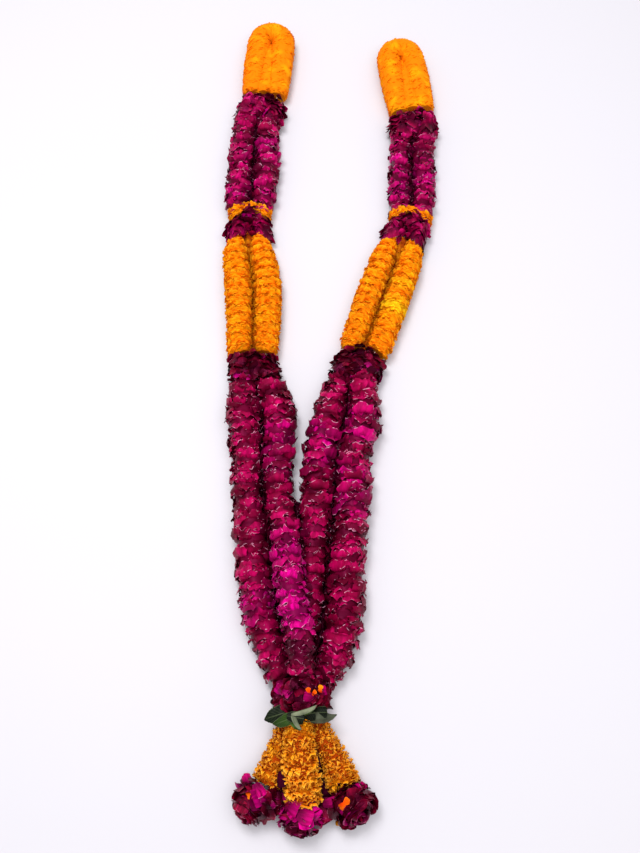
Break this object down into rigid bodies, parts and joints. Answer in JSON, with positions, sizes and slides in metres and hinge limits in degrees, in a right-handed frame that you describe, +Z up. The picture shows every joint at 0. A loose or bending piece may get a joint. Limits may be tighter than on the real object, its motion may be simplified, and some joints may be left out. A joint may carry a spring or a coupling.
{
  "type": "rose and marigold garland",
  "caption": "Neck garland of packed rose petals, whole roses and marigold heads on cotton thread: two looped legs joined at a leafy knot with marigold tassels ending in roses",
  "frame": {"origin": "on the surface it lies on, under the middle of the box round the whole garland", "axes": "X across the garland, +Y along it towards the two loops at the neck end, +Z up from the surface it lies on"},
  "size_m": [0.2838, 1.0366, 0.0678],
  "materials": {
    "rose_petals": "soft crimson-magenta rose petals with pale edges, packed on the thread",
    "rose_bloom": "dark crimson whole roses with velvety petals",
    "marigold": "dense matt orange marigold florets",
    "leaf": "dark glossy green leaf with a paler edge",
    "cotton_thread": "unbleached twisted cotton"
  },
  "bodies": {
    "root": {"left_marigold_loop": "marigold", "left_outer_upper_rose": "rose_bloom", "left_outer_short_petals": "rose_petals", "left_outer_band_marigold": "marigold", "left_outer_middle_rose": "rose_bloom", "left_outer_marigolds": "marigold", "left_outer_lower_rose": "rose_bloom", "left_outer_long_petals": "rose_petals", "left_inner_upper_rose": "rose_bloom", "left_inner_short_petals": "rose_petals", "left_inner_band_marigold": "marigold", "left_inner_middle_rose": "rose_bloom", "left_inner_marigolds": "marigold", "left_inner_lower_rose": "rose_bloom", "left_inner_long_petals": "rose_petals", "left_thread": "cotton_thread", "right_marigold_loop": "marigold", "right_outer_upper_rose": "rose_bloom", "right_outer_short_petals": "rose_petals", "right_outer_band_marigold": "marigold", "right_outer_middle_rose": "rose_bloom", "right_outer_marigolds": "marigold", "right_outer_lower_rose": "rose_bloom", "right_outer_long_petals": "rose_petals", "right_inner_upper_rose": "rose_bloom", "right_inner_short_petals": "rose_petals", "right_inner_band_marigold": "marigold", "right_inner_middle_rose": "rose_bloom", "right_inner_marigolds": "marigold", "right_inner_lower_rose": "rose_bloom", "right_inner_long_petals": "rose_petals", "right_thread": "cotton_thread", "knot_binding": "cotton_thread", "knot_rose_top": "rose_bloom", "knot_rose_left": "rose_bloom", "knot_rose_right": "rose_bloom", "leaf_1": "leaf", "leaf_2": "leaf", "leaf_3": "leaf", "leaf_4": "leaf", "leaf_5": "leaf", "tassel_left": "marigold", "tassel_thread_left": "cotton_thread", "end_rose_left": "rose_bloom", "tassel_centre": "marigold", "tassel_thread_centre": "cotton_thread", "end_rose_centre": "rose_bloom", "tassel_right": "marigold", "tassel_thread_right": "cotton_thread", "end_rose_right": "rose_bloom"}
  },
  "joints": []
}
